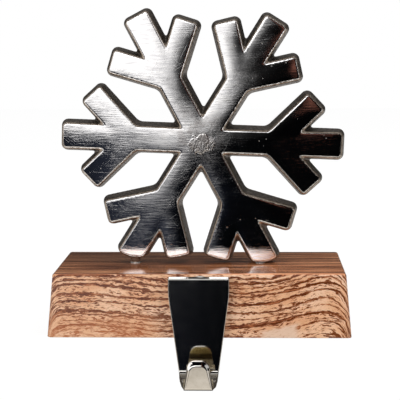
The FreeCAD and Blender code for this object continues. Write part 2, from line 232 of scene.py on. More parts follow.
def polish_bends(x, z):
    """The dome of the whole face, and the twist of each arm."""
    high = sum(rise * (x / arm_length) ** i * (z / arm_length) ** j for i, j, rise in face_bends)
    high = high + rim_lift * ((x * x + z * z) / arm_length**2) ** 2
    for (along, across), (twist, hollow) in zip(arms(x, z), arm_bends):
        near = np.clip(1.5 - np.abs(np.arctan2(across, along)) / bend_half_angle, 0, 1)
        far = np.clip((along - bend_start) / bend_run, 0, 1)
        weight = near * near * (3 - 2 * near) * far * far * (3 - 2 * far)
        high = high + weight * (twist * across / bend_reach + hollow * (across / bend_reach) ** 2)
    return high


def casting_side(x, y, z):
    """Distance from the drafted side walls, negative inside."""
    inset = draft * (casting_rear_y - y) / draft_height
    return smooth_max(outline(x, z) + inset, -(z + foot_drop) + 0.2 * inset, foot_edge)


def casting_field(x, y, z):
    """Distance from the whole casting, upright about its own centre."""
    height = casting_rear_y - y
    top = casting_thickness + polish_bends(x, z) - crown(x, z) - face_set_back
    valley = upper_valley * np.clip((z - valley_start) / valley_run, 0, 1)
    valley = valley + lower_valley * np.clip((-z - valley_start) / valley_run, 0, 1)
    top = top - valley * np.exp(-(x / valley_half) ** 2) + polish_waves(x, z)
    side = casting_side(x, y, z)
    return smooth_max(smooth_max(side, height - top, face_edge), -height, rear_edge)


def leaned(p):
    """Points or directions turned by the casting's lean."""
    x = p[:, 0] * math.cos(lean) + p[:, 2] * math.sin(lean)
    z = -p[:, 0] * math.sin(lean) + p[:, 2] * math.cos(lean)
    return np.stack([x, p[:, 1], z], 1)


def snowflake_casting():
    """The casting, with an attribute that says how far a point lies inside the polished face."""
    points, normals, quads = surface_net(casting_field, (-59, -5.2, -50.5), (59, 4.8, 59), casting_cell)
    placed = leaned(points) + np.array([casting_x, 0, casting_z])
    piece = mesh_piece("snowflake_casting", placed, quads, leaned(normals))
    polished = np.clip(-casting_side(*points.T) / 1.2, 0, 1) * np.clip(-points[:, 1] - 1, 0, 1)
    attribute = piece.data.attributes.new("polished", "FLOAT", "POINT")
    attribute.data.foreach_set("value", polished.astype(np.float32))
    return piece


# The cast hook

def face_y(z):
    """Where the block's front face stands at height z."""
    return -block_depth / 2 + (z - wood_low) * block_slope


plate_low_y = face_y(floor_top) - plate_thickness
floor_start, tongue_rear = plate_low_y - cradle_radius, plate_low_y - cradle_gap
tongue_front, tongue_x = tongue_rear - tongue_thickness, hook_x + 0.3
tongue_top = hook_low + tongue_height


def rounded(corners, steps=7):
    """Closed line through corners (u, v, radius), each rounded by its own radius."""
    out = []
    n = len(corners)
    for i in range(n):
        p = np.array(corners[i][:2], float)
        a = np.array(corners[i - 1][:2], float) - p
        b = np.array(corners[(i + 1) % n][:2], float) - p
        a, b, radius = a / np.linalg.norm(a), b / np.linalg.norm(b), corners[i][2]
        if radius == 0:
            out.append(p)
            continue
        half = math.acos(np.clip(a @ b, -1, 1)) / 2
        middle = p + (a + b) / np.linalg.norm(a + b) * radius / math.sin(half)
        start, end = p + a * radius / math.tan(half), p + b * radius / math.tan(half)
        for share in np.linspace(0, 1, steps):
            way = (start - middle) * (1 - share) + (end - middle) * share
            out.append(middle + way / np.linalg.norm(way) * radius)
    return np.array(out)


class Outline:
    """Distance from a closed line, negative inside, read from a fine table."""

    def __init__(self, corners, cell=0.1, margin=4.0):
        loop = rounded(corners)
        self.low, self.cell = loop.min(0) - margin, cell
        size = np.ceil((loop.max(0) + margin - self.low) / cell).astype(int)
        u, v = np.meshgrid(*[self.low[i] + np.arange(size[i]) * cell for i in range(2)], indexing="ij")
        near, inside = np.full(u.shape, 1e9), np.zeros(u.shape, bool)
        for a, b in zip(loop, np.roll(loop, -1, 0)):
            d = b - a
            share = np.clip(((u - a[0]) * d[0] + (v - a[1]) * d[1]) / max(d @ d, 1e-12), 0, 1)
            near = np.minimum(near, np.hypot(u - a[0] - share * d[0], v - a[1] - share * d[1]))
            if a[1] != b[1]:
                inside ^= ((a[1] > v) != (b[1] > v)) & (u < d[0] * (v - a[1]) / d[1] + a[0])
        self.table = np.where(inside, -near, near)

    def __call__(self, u, v):
        i = np.clip((u - self.low[0]) / self.cell, 0, self.table.shape[0] - 1.001)
        j = np.clip((v - self.low[1]) / self.cell, 0, self.table.shape[1] - 1.001)
        a, b = i.astype(int), j.astype(int)
        s, r, t = i - a, j - b, self.table
        near = t[a, b] * (1 - s) + t[a + 1, b] * s
        far = t[a, b + 1] * (1 - s) + t[a + 1, b + 1] * s
        return near * (1 - r) + far * r


def mirrored(half_outline, middle):
    """A closed line from its right half, given as distances from the middle."""
    right = [(middle + u, v, radius) for u, v, radius in half_outline]
    return right + [(2 * middle - u, v, radius) for u, v, radius in reversed(right)]


# Plate, floor and tongue as one bent strip, seen from the side
strip = Outline([
    (face_y(hook_top), hook_top, 0.3), (face_y(hook_top) - plate_top_thickness, hook_top - 0.25, 0.4),
    (plate_low_y, floor_top, cradle_radius), (tongue_rear, floor_top, cradle_radius),
    (tongue_rear, tongue_top, tongue_lip), (tongue_front, tongue_top, tongue_lip),
    (tongue_front + tongue_flare, hook_low, front_bend), (face_y(hook_low), hook_low, rear_bend),
])
# The plate from the front, the floor from above, the tongue from the front, the flange from above
plate = Outline(mirrored([(plate_top_half, 30, 0), (plate_top_half, hook_top - plate_straight, 30),
                          (plate_low_half, hook_low, 0)], hook_x))
floor = Outline([
    (hook_x - plate_low_half, floor_start + 2, 0), (hook_x - plate_low_half, floor_start, 0),
    (tongue_x - shoulder_half, tongue_rear + shoulder_run, 4), (tongue_x - tongue_low_half, tongue_rear, 0),
    (tongue_x - tongue_low_half, tongue_rear - 6, 0), (tongue_x + tongue_low_half, tongue_rear - 6, 0),
    (tongue_x + tongue_low_half, tongue_rear, 0), (tongue_x + shoulder_half, tongue_rear + shoulder_run, 4),
    (hook_x + plate_low_half, floor_start, 0), (hook_x + plate_low_half, floor_start + 2, 0),
])
tongue_foot = tongue_low_half + 1.2
tongue = Outline([
    (tongue_x - tongue_foot, hook_low - 8.3, 0), (tongue_x + tongue_foot, hook_low - 8.3, 0),
    (tongue_x + tongue_top_half, tongue_top, tongue_arch),
    (tongue_x - tongue_top_half, tongue_top, tongue_arch),
])
flange_rear = face_y(wood_low) + flange_length
flange = Outline([
    (hook_x - flange_half, face_y(wood_low) - 1.5, 0), (hook_x + flange_half, face_y(wood_low) - 1.5, 0),
    (hook_x + flange_half, flange_rear, flange_corner), (hook_x - flange_half, flange_rear, flange_corner),
])


def tongue_field(x, y, z):
    """The tongue's arch, with bevels that widen upwards on its front."""
    bevel_depth = 0.9
    arch = tongue(x, z)
    inset = 0.30 + 0.60 * np.clip((z - hook_low) / 8, 0, 1)
    inset = inset + 0.9 * np.clip((z - tongue_top + 3.6) / 2.4, 0, 1)
    front = tongue_front + tongue_flare * (tongue_top - z) / tongue_height
    facet = (arch + inset * (1 - (y - front) / bevel_depth)) / np.hypot(1, inset / bevel_depth)
    return np.maximum(np.maximum(arch, facet), y - tongue_rear - 0.3)


def flange_field(x, y, z):
    """The flange under the block, with its countersunk holes."""
    low = wood_low + 0.2
    half = flange_thickness / 2
    result = smooth_max(flange(x, y), np.abs(z - low - half) - half, 0.3)
    for way in flange_screws:
        from_hole = np.hypot(x - hook_x, y - face_y(wood_low) - way)
        result = np.maximum(result, np.maximum(flange_hole, flange_sink - (z - low)) - from_hole)
    return result


def gate_mark_field(x, y, z):
    """A low arc on the plate's top edge, where the casting's gate was cut off."""
    radius, half_thickness = 5.0, 0.7
    arc = np.hypot(x - hook_x - 0.5, z - hook_top + 4.7) - radius
    return smooth_max(arc, np.abs(y - face_y(hook_top) + 1.0) - half_thickness, 0.25)


def hook_field(x, y, z):
    """Distance from the whole hook."""
    side = np.maximum(plate(x, z), floor_start - 0.3 - y)
    on_floor = np.maximum(np.maximum(floor(x, y), z - hook_low - 4.4), tongue_rear - 0.3 - y)
    side = np.minimum(np.minimum(side, on_floor), tongue_field(x, y, z))
    body = smooth_max(strip(y, z), side, 0.3)
    body = smooth_min(body, gate_mark_field(x, y, z), 0.03)
    return np.minimum(body, flange_field(x, y, z))


def cast_hook():
    points, normals, quads = surface_net(hook_field, (-12, -49, -15.6), (12, -8.4, 25.4), hook_cell)
    return mesh_piece("cast_hook", points, quads, normals)


# The camera, at the photograph's viewing angle

def photo_camera():
    yaw, pitch, roll = math.radians(2.16707), math.radians(7.36541), math.radians(-0.33344)
    place = (0.019939, -0.534682, 0.120949)
    forward = Vector((-math.sin(yaw) * math.cos(pitch), math.cos(yaw) * math.cos(pitch), -math.sin(pitch)))
    right = Vector((math.cos(yaw), math.sin(yaw), 0))
    up = right.cross(forward)
    turned_right = right * math.cos(roll) + up * math.sin(roll)
    turned_up = -right * math.sin(roll) + up * math.cos(roll)
    data = bpy.data.cameras.new("camera")
    data.lens, data.sensor_width = 118.54, 36
    data.clip_start, data.clip_end = 0.01, 20
    camera = bpy.data.objects.new("camera", data)
    bpy.context.scene.collection.objects.link(camera)
    rows = Matrix((turned_right, turned_up, -forward)).transposed().to_4x4()
    camera.matrix_world = Matrix.Translation(place) @ rows
    bpy.context.scene.camera = camera


# Shader helpers

class Tree:
    """Short names for making and joining nodes."""

    def __init__(self, tree):
        self.tree = tree
        tree.nodes.clear()

    def node(self, kind, inputs=None, **settings):
        made = self.tree.nodes.new(kind)
        for key, value in settings.items():
            setattr(made, key, value)
        for key, value in (inputs or {}).items():
            socket = made.inputs[key]
            if isinstance(value, bpy.types.NodeSocket):
                self.tree.links.new(value, socket)
            else:
                socket.default_value = value
        return made

    def math(self, operation, *values, clamp=False):
        made = self.node("ShaderNodeMath", dict(enumerate(values)), operation=operation)
        made.use_clamp = clamp
        return made.outputs[0]

    def ramp(self, value, stops):
        made = self.node("ShaderNodeValToRGB", {"Fac": value})
        ramp = made.color_ramp
        while len(ramp.elements) < len(stops):
            ramp.elements.new(1.0)
        for element, (place, colour) in zip(ramp.elements, stops):
            element.position = place
            element.color = colour if len(colour) == 4 else (*colour, 1)
        return made.outputs[0]

    def smooth(self, value, low, high, to_low=0.0, to_high=1.0):
        made = self.node(
            "ShaderNodeMapRange",
            {"Value": value, "From Min": low, "From Max": high, "To Min": to_low, "To Max": to_high},
            interpolation_type="SMOOTHSTEP",
        )
        return made.outputs[0]

    def mix(self, share, a, b, blend="MIX"):
        made = self.node("ShaderNodeMix", data_type="RGBA", blend_type=blend)
        for key, value in ((0, share), (6, a), (7, b)):
            if isinstance(value, bpy.types.NodeSocket):
                self.tree.links.new(value, made.inputs[key])
            else:
                made.inputs[key].default_value = value
        return made.outputs[2]

    def noise(self, vector, scale, detail=3.0, roughness=0.55, distortion=0.0):
        inputs = {"Vector": vector, "Scale": scale, "Detail": detail, "Roughness": roughness}
        inputs["Distortion"] = distortion
        return self.node("ShaderNodeTexNoise", inputs).outputs[0]

    def stretched(self, vector, scale, offset=(0, 0, 0), turn=(0, 0, 0)):
        inputs = {"Vector": vector, "Scale": scale, "Location": offset, "Rotation": turn}
        return self.node("ShaderNodeMapping", inputs).outputs[0]

    def times(self, *values):
        """The product of two or more values."""
        result = values[0]
        for value in values[1:]:
            result = self.math("MULTIPLY", result, value)
        return result

    def share_of(self, value, low, high):
        """Where a value stands between two ends, from 0 to 1."""
        return self.node("ShaderNodeMapRange", {"Value": value, "From Min": low, "From Max": high}).outputs[0]

    def grey(self, value):
        return self.node("ShaderNodeCombineXYZ", {0: value, 1: value, 2: value}).outputs[0]

    def parts(self, vector):
        """The x, y and z of a vector."""
        return self.node("ShaderNodeSeparateXYZ", {"Vector": vector}).outputs

    def join(self, value, socket):
        self.tree.links.new(value, socket)

    def bump(self, shader, height, strength=1.0, distance=0.001):
        made = self.node("ShaderNodeBump", {"Strength": strength, "Distance": distance, "Height": height})
        self.join(made.outputs[0], shader.inputs["Normal"])


def rgb(r, g, b):
    """Linear colour from the 0 to 255 values of a picture."""
    def linear(v):
        v = v / 255
        return v / 12.92 if v <= 0.04045 else ((v + 0.055) / 1.055) ** 2.4
    return (linear(r), linear(g), linear(b), 1.0)


def new_material(name):
    """A material with its tree, its shader and the place on the piece in millimetres."""
    material = bpy.data.materials.new(name)
    material.use_nodes = True
    t = Tree(material.node_tree)
    shader = t.node("ShaderNodeBsdfPrincipled")
    t.node("ShaderNodeOutputMaterial", {"Surface": shader.outputs[0]})
    place = t.node("ShaderNodeTexCoord").outputs["Object"]
    mm = t.node("ShaderNodeVectorMath", {0: place, 1: (1000, 1000, 1000)}, operation="MULTIPLY").outputs[0]
    return material, t, shader, mm


# The world: a dark room towards the camera, with a large soft box on the left and a pale table below

def soft_box(t, az, el):
    """The soft box's glow, which fades out to the right, further right the higher it is."""
    line = t.math("SUBTRACT", az, t.smooth(el, 3.5, 10.5, 0.0, 5.0))
    fade = ((-5.8, 1.40), (-4.6, 1.20), (-3.1, 0.86), (-1.8, 0.34), (-0.3, 0.09), (1.6, 0.018), (4.0, 0.003))
    box = t.ramp(t.share_of(line, -6.0, 6.0), [((at + 6) / 12, (value,) * 3) for at, value in fade])
    box = t.mix(t.smooth(el, 21, 25), box, rgb(5, 6, 8))
    high = t.times(t.smooth(el, 11.0, 15.0), t.smooth(az, -26, -20), t.smooth(line, -2.5, -1.0, 1.0, 0.0),
                   t.smooth(el, 21, 25, 1.0, 0.0))
    return t.mix(high, box, (3.2, 3.2, 3.2, 1))


def below_box(t, az, el):
    """The dim part of the room under the soft box, with one pale lobe."""
    dim = t.ramp(t.share_of(az, -20.0, 10.0), [
        (0.10, rgb(28, 31, 40)), (0.43, rgb(46, 50, 62)), (0.53, rgb(15, 18, 25)),
        (0.62, rgb(7, 8, 11)), (0.72, rgb(4, 5, 6)), (0.86, rgb(3, 3, 4)),
    ])
    lobe = t.times(t.smooth(az, -9.6, -7.4), t.smooth(az, -5.8, -4.2, 1.0, 0.0), t.smooth(el, -12.0, -4.5))
    return t.mix(lobe, dim, (0.86, 0.86, 0.86, 1))


def studio_world():
    """The room, by degrees to the right of the camera's side and degrees of elevation."""
    world = bpy.data.worlds.new("studio")
    bpy.context.scene.world = world
    world.use_nodes = True
    t = Tree(world.node_tree)
    x, y, z = t.parts(t.node("ShaderNodeTexCoord").outputs["Generated"])
    front = t.math("MAXIMUM", t.math("MULTIPLY", y, -1.0), 0.02)
    az = t.math("DEGREES", t.math("ARCTAN2", x, front))
    el = t.math("DEGREES", t.math("ARCSINE", z))
    box_edge = t.math("SUBTRACT", el, t.smooth(az, -16.5, -12.5, 1.2, 0.0))
    glow = t.mix(t.smooth(box_edge, -5.0, -3.0), below_box(t, az, el), soft_box(t, az, el))
    red_strip = t.times(t.smooth(az, 7.0, 8.0), t.smooth(az, 10.5, 12.5, 1.0, 0.0), t.smooth(el, -2.6, -1.2))
    glow = t.mix(red_strip, glow, rgb(118, 76, 64))
    sideways = t.smooth(t.math("ABSOLUTE", az), 15, 45, 0.0, 15.0)
    table = t.smooth(t.math("SUBTRACT", el, sideways), -24, -19, 1.0, 0.0)
    glow = t.mix(table, glow, rgb(236, 228, 216))
    side_card = t.times(t.smooth(az, 38, 44), t.smooth(az, 62, 70, 1.0, 0.0), 0.75)
    glow = t.mix(side_card, glow, (0.8, 0.8, 0.82, 1))
    ceiling = t.smooth(el, 56, 62)
    glow = t.mix(ceiling, glow, (1.2, 1.2, 1.2, 1))
    room = t.grey(t.smooth(el, 14, 30, 0.03, 0.30))
    behind = t.smooth(y, -0.22, 0.12)
    studio = t.mix(behind, glow, room)
    seen = t.node("ShaderNodeLightPath").outputs["Is Camera Ray"]
    background = t.node("ShaderNodeBackground", {"Color": t.mix(seen, studio, (1, 1, 1, 1)), "Strength": 1.0})
    t.node("ShaderNodeOutputWorld", {"Surface": background.outputs[0]})


# The stage: a white shelf under the block that ends behind the hook, and three lamps

def white_shelf():
    low, high = (-1.5, -0.021, -0.6), (1.5, 1.5, -0.00002)
    corners = [(x, y, z) for x in (low[0], high[0]) for y in (low[1], high[1]) for z in (low[2], high[2])]
    faces = [(0, 1, 3, 2), (4, 6, 7, 5), (0, 4, 5, 1), (2, 3, 7, 6), (0, 2, 6, 4), (1, 5, 7, 3)]
    mesh = bpy.data.meshes.new("shelf")
    mesh.from_pydata(corners, [], faces)
    shelf = bpy.data.objects.new("shelf", mesh)
    bpy.context.scene.collection.objects.link(shelf)
    material = bpy.data.materials.new("shelf_white")
    material.use_nodes = True
    t = Tree(material.node_tree)
    height = t.parts(t.node("ShaderNodeNewGeometry").outputs["Position"])[2]
    tone = t.mix(t.smooth(height, -0.0008, -0.0002), rgb(120, 116, 112), (0.86, 0.86, 0.86, 1))
    diffuse = t.node("ShaderNodeBsdfDiffuse", {"Color": tone})
    bright = t.node("ShaderNodeEmission", {"Strength": t.smooth(height, -0.0008, -0.0002, 1.13, 1.07)})
    seen = t.node("ShaderNodeLightPath").outputs["Is Camera Ray"]
    inputs = {0: t.times(seen, 0.88), 1: diffuse.outputs[0], 2: bright.outputs[0]}
    both = t.node("ShaderNodeMixShader", inputs)
    t.node("ShaderNodeOutputMaterial", {"Surface": both.outputs[0]})
    mesh.materials.append(material)


def area_light(name, place, target, size, power):
    data = bpy.data.lights.new(name, "AREA")
    data.shape, data.size, data.energy = "DISK", size, power
    lamp = bpy.data.objects.new(name, data)
    lamp.location = place
    lamp.rotation_euler = (Vector(target) - Vector(place)).to_track_quat("-Z", "Y").to_euler()
    lamp.visible_glossy = False
    bpy.context.scene.collection.objects.link(lamp)


# Materials

# The print's flow: how far its lines rise above their level at the hook, at places along the front
flow = ((-60, -6.0), (-58.7, -2.4), (-57, 0.8), (-55, 2.1), (-51, 2.6), (-45, 2.7), (-35, 1.9), (-20, 0.5),
        (-12, 0), (12, 0), (20, -0.3), (27, 0.4), (34, 2.3), (43.5, 4.8), (50, 5.8), (54, 4.9), (56.5, 3.0),
        (58.5, -0.5), (60, -5.0))
# Long veins by their level at the hook, half height and strength, on each side of it
left_veins = ((1.4, 0.5, 0.6), (3.3, 0.7, 0.8), (5.3, 0.5, 0.5), (7.3, 0.6, 0.8), (8.8, 0.9, 1.0),
              (12.9, 0.6, 0.8), (15.6, 0.8, 0.95), (19.1, 0.9, 1.0), (21.2, 0.7, 0.9), (23.2, 0.9, 0.9))
right_veins = ((1.6, 0.6, 0.7), (5.6, 1.1, 1.0), (8.2, 0.5, 0.5), (10.6, 0.7, 0.85), (13.9, 0.8, 1.0),
               (17.1, 0.7, 0.95), (18.9, 0.7, 0.9), (20.6, 0.5, 0.7), (22.1, 0.8, 0.95), (24.0, 0.8, 0.9))


def grain_level(t, mm):
    """The height of a place measured along the print's flow, with the wander of real grain."""
    x, y, z = t.parts(mm)
    half_width, half_rise = 60.0, 12.0
    curve = t.node("ShaderNodeFloatCurve")
    t.join(t.share_of(x, -half_width, half_width), curve.inputs["Value"])
    line = curve.mapping.curves[0]
    while len(line.points) < len(flow):
        line.points.new(0.5, 0.5)
    for point, (at, rise) in zip(line.points, flow):
        point.location = ((at + half_width) / (2 * half_width), (rise + half_rise) / (2 * half_rise))
    curve.mapping.update()
    rise = t.math("MULTIPLY_ADD", curve.outputs[0], 2 * half_rise, -half_rise)
    wander = t.math("SUBTRACT", t.noise(t.stretched(mm, (0.06, 0.10, 0.20)), 1.0, 2.0), 0.5)
    ripple = t.math("SUBTRACT", t.noise(t.stretched(mm, (0.30, 0.3, 0.55)), 1.0, 4.0, 0.6), 0.5)
    level = t.math("SUBTRACT", z, rise)
    level = t.math("ADD", level, t.times(wander, 3.0))
    return t.math("ADD", level, t.times(ripple, 1.7))


def grain_veins(t, x, level, flowed):
    """Long dark veins, broken up into strands."""
    full_height = 26.0
    height = t.share_of(level, 0.0, full_height)

    def vein_lines(veins):
        stops = []
        for at, half, strength in veins:
            for way, weight in ((-half, 0), (0, strength), (half, 0)):
                stops.append(((at + way) / full_height, (weight,) * 3))
        return t.ramp(height, stops)

    vein = t.mix(t.smooth(x, -3.0, 3.0), vein_lines(left_veins), vein_lines(right_veins))
    rough = t.noise(t.stretched(flowed, (0.50, 0.5, 2.5)), 1.0, 4.0, 0.65)
    broken = t.noise(t.stretched(flowed, (0.10, 0.1, 0.9), (4, 0, 2)), 1.0, 2.0)
    weight = t.math("ADD", t.times(rough, 2.3), t.times(broken, 0.9))
    vein = t.smooth(t.math("ADD", vein, t.math("SUBTRACT", weight, 1.6)), 0.24, 0.50)
    strands = t.noise(t.stretched(flowed, (0.13, 0.1, 3.6), (1, 5, 2)), 1.0, 2.0)
    return t.times(vein, t.smooth(strands, 0.36, 0.50, 0.35, 1.0))


def grain_dashes(t, x, z, flowed):
    """Short dark dashes, closer together low on the right."""
    dash = t.noise(t.stretched(flowed, (0.36, 0.4, 2.4)), 1.0, 2.0)
    where = t.noise(t.stretched(flowed, (0.07, 0.08, 0.25), (3, 1, 7)), 1.0, 1.0)
    edge = t.math("SUBTRACT", 0.735, t.times(where, 0.34))
    right_end = t.times(t.smooth(x, 40, 50), t.smooth(z, 8, 14, 1.0, 0.0), 0.07)
    edge = t.math("SUBTRACT", edge, right_end)
    return t.smooth(t.math("SUBTRACT", dash, edge), -0.01, 0.05)


def front_print(t, mm):
    """Colour of the block's sides, and the fine grain that also gives their relief."""
    x, y, z = t.parts(mm)
    level = grain_level(t, mm)
    flowed = t.node("ShaderNodeCombineXYZ", {0: x, 1: y, 2: level}).outputs[0]
    dark = t.math("MAXIMUM", grain_veins(t, x, level, flowed), t.times(grain_dashes(t, x, z, flowed), 0.9))
    # Soft smudges low on the left, and a bare patch low on the right
    left = t.smooth(x, -22, -8, 1.0, 0.0)
    low_left = t.times(left, t.smooth(z, 6, 13, 1.0, 0.0))
    smudge = t.smooth(t.noise(t.stretched(flowed, (0.28, 0.3, 1.1)), 1.0, 4.0), 0.49, 0.68, 0.0, 0.42)
    faded = t.times(dark, t.math("MULTIPLY_ADD", low_left, -0.35, 1.0))
    dark = t.math("MAXIMUM", faded, t.times(smudge, low_left))
    lowest_left = t.times(low_left, t.smooth(z, 2, 7, 1.0, 0.0))
    dark = t.times(dark, t.math("MULTIPLY_ADD", lowest_left, -0.3, 1.0))
    bare = t.times(t.smooth(x, 20, 27), t.smooth(x, 37, 41, 1.0, 0.0), t.smooth(level, 2.5, 4.0, 1.0, 0.0))
    dark = t.times(dark, t.math("SUBTRACT", 1.0, bare))
    fine = t.noise(t.stretched(flowed, (0.6, 0.5, 4.5)), 1.0, 3.0)
    dark = t.math("ADD", dark, t.smooth(fine, 0.50, 0.75, 0.0, 0.30), clamp=True)
    cloud = t.noise(t.stretched(flowed, (0.05, 0.07, 0.14), (9, 2, 4)), 1.0, 2.0)
    light = t.ramp(cloud, [(0.35, rgb(219, 165, 125)), (0.50, rgb(230, 183, 146)),
                           (0.66, rgb(237, 198, 168))])
    light = t.mix(t.times(bare, 0.7), light, rgb(226, 200, 180))
    ink = t.ramp(dark, [(0.0, (1, 1, 1)), (0.45, rgb(196, 148, 112)), (1.0, rgb(104, 60, 30))])
    return t.mix(1.0, light, ink, "MULTIPLY"), fine


def top_print(t, mm):
    """Colour of the block's top, which has closer and straighter lines, lightened towards the front and the
    right as painted light.
    """
    x, y = t.parts(mm)[:2]
    line = t.noise(t.stretched(mm, (0.018, 0.38, 0.1)), 1.0, 5.0, 0.65)
    top = t.ramp(line, [(0.36, rgb(92, 50, 30)), (0.46, rgb(146, 90, 58)), (0.56, rgb(192, 130, 92)),
                        (0.66, rgb(226, 166, 124))])
    # Painted light: the top grows lighter towards its front edge and towards the right end.
    tone = t.math("ADD", t.smooth(y, -28, 24, 1.54, 1.03), t.smooth(x, -5, 50, 0.0, 0.45))
    return t.mix(1.0, top, t.grey(tone), "MULTIPLY")


def wood_material():
    """A printed zebrano grain: flowing dark veins and dashes in front, close straight lines on top."""
    material, t, shader, mm = new_material("zebrano_print")
    front, fine = front_print(t, mm)
    z = t.parts(mm)[2]
    top_low, top_high = 25.5, 25.85
    t.join(t.mix(t.smooth(z, top_low, top_high), front, top_print(t, mm)), shader.inputs["Base Color"])
    t.join(t.smooth(z, top_low, top_high, 0.22, 0.15), shader.inputs["Roughness"])
    t.join(t.smooth(z, top_low, top_high, 0.2, 1.0), shader.inputs["Coat Weight"])
    shader.inputs["Coat Roughness"].default_value = 0.12
    t.bump(shader, fine, 0.08, 0.0002)
    return material


def scratches(t, mm, turn, closeness, width, offset):
    """Thin curved lines at a turn about Y, each only part of the way."""
    turned = t.stretched(mm, (1, 1, 1), offset, (0, math.radians(turn), 0))
    waves = t.noise(t.stretched(turned, (0.02, 0, closeness)), 1.0, 0.0)
    line = t.smooth(t.math("ABSOLUTE", t.math("SUBTRACT", waves, 0.5)), 0.0, width, 1.0, 0.0)
    part = t.smooth(t.noise(t.stretched(turned, (0.07, 0, 0.4)), 1.0, 1.0), 0.56, 0.66)
    return t.times(line, part)


# Scratches in the face: turn, closeness, width and offset
face_scratches = ((12, 0.45, 0.020, (0, 0, 0)), (-38, 0.5, 0.018, (40, 0, 9)), (64, 0.4, 0.016, (7, 0, 55)),
                  (-4, 0.8, 0.022, (90, 0, 3)), (31, 0.55, 0.018, (13, 0, 71)))


def ground_spot(t, mm):
    """A dull spot in the middle, where the casting was ground."""
    x, y, z = t.parts(mm)
    uneven = t.times(t.noise(mm, 0.45, 3.0, 0.6), 6.0)
    across = t.times(t.math("SUBTRACT", x, casting_x - 0.4), 0.8)
    up = t.math("SUBTRACT", z, casting_z - 1.2)
    from_middle = t.math("SQRT", t.math("ADD", t.times(across, across), t.times(up, up)))
    return t.smooth(t.math("ADD", from_middle, uneven), 5.6, 7.4, 1.0, 0.0)


def casting_material():
    """Cast metal with a hand-polished face: brush lines, scratches and pits, and rough walls."""
    material, t, shader, mm = new_material("polished_casting_metal")
    x = t.parts(mm)[0]
    polish = t.node("ShaderNodeAttribute", attribute_name="polished").outputs["Fac"]
    middle = (casting_x, casting_rear_y, casting_z)
    from_hub = t.node("ShaderNodeVectorMath", {0: mm, 1: middle}, operation="DISTANCE").outputs["Value"]
    hub = t.smooth(from_hub, 9, 22, 1.0, 0.0)
    brush = t.noise(t.stretched(mm, (0.16, 0.3, 1.9)), 1.0, 4.0, 0.65)
    worn = t.smooth(t.noise(t.stretched(mm, (0.05, 0.05, 0.09)), 1.0, 2.0), 0.38, 0.62, 0.25, 1.0)
    worn = t.math("MAXIMUM", worn, hub)
    marks = 0.0
    for turn, closeness, width, offset in face_scratches:
        marks = t.math("MAXIMUM", marks, scratches(t, mm, turn, closeness, width, offset))
    marks = t.times(marks, t.smooth(x, 0.0, 24.0, 1.0, 0.12))
    near = t.node("ShaderNodeTexVoronoi", {"Vector": mm, "Scale": 0.42}).outputs["Distance"]
    pit_size = t.smooth(t.noise(mm, 0.16, 2.0), 0.45, 0.75, 0.0, 0.17)
    pit = t.smooth(t.math("SUBTRACT", near, pit_size), -0.05, 0.0, 1.0, 0.0)
    stain = t.times(hub, t.smooth(t.noise(mm, 0.22, 4.0, 0.6), 0.42, 0.62))
    spot = ground_spot(t, mm)
    # Colour, from the walls over the rim to the face
    rough_cast = t.noise(mm, 0.9, 4.0, 0.65)
    walls = t.ramp(rough_cast, [(0.34, rgb(84, 76, 69)), (0.50, rgb(122, 113, 104)),
                                (0.68, rgb(168, 158, 146))])
    rim = t.mix(t.smooth(rough_cast, 0.4, 0.6), rgb(150, 136, 122), rgb(186, 172, 156))
    face = t.ramp(brush, [(0.30, rgb(200, 198, 199)), (0.50, rgb(230, 228, 228)), (0.70, rgb(242, 239, 236))])
    face = t.mix(t.times(stain, 0.40), face, rgb(150, 138, 130))
    face = t.mix(t.times(spot, 0.45), face, rgb(178, 170, 164))
    face = t.mix(t.times(pit, 0.8), face, rgb(70, 60, 54))
    is_face = t.smooth(polish, 0.30, 0.62)
    colour = t.mix(t.smooth(polish, 0.02, 0.16), walls, rim)
    t.join(t.mix(is_face, colour, face), shader.inputs["Base Color"])
    shader.inputs["Metallic"].default_value = 1.0
    # Roughness
    shine = t.math("MULTIPLY_ADD", worn, 0.035, 0.035)
    shine = t.math("MULTIPLY_ADD", hub, 0.03, shine)
    shine = t.math("MULTIPLY_ADD", spot, 0.10, shine)
    shine = t.math("MULTIPLY_ADD", marks, 0.08, shine)
    edge_shine = t.smooth(polish, 0.0, 0.4, 0.46, 0.26)
    rough = t.node("ShaderNodeMix", {0: is_face, 2: edge_shine, 3: shine}).outputs[0]
    t.join(rough, shader.inputs["Roughness"])
    # Relief
    relief = t.times(brush, worn, 0.034)
    relief = t.math("SUBTRACT", relief, t.times(marks, 0.003))
    relief = t.math("SUBTRACT", relief, t.times(pit, 0.05))
    strokes = t.noise(t.stretched(mm, (1.3, 0.6, 0.5), (3, 0, 1), (0, 0.6, 0)), 1.0, 3.0, 0.6)
    relief = t.math("ADD", relief, t.times(spot, strokes, 0.16))
    cast_relief = t.times(rough_cast, 0.30)
    t.bump(shader, t.node("ShaderNodeMix", {0: is_face, 2: cast_relief, 3: relief}).outputs[0])
    return material


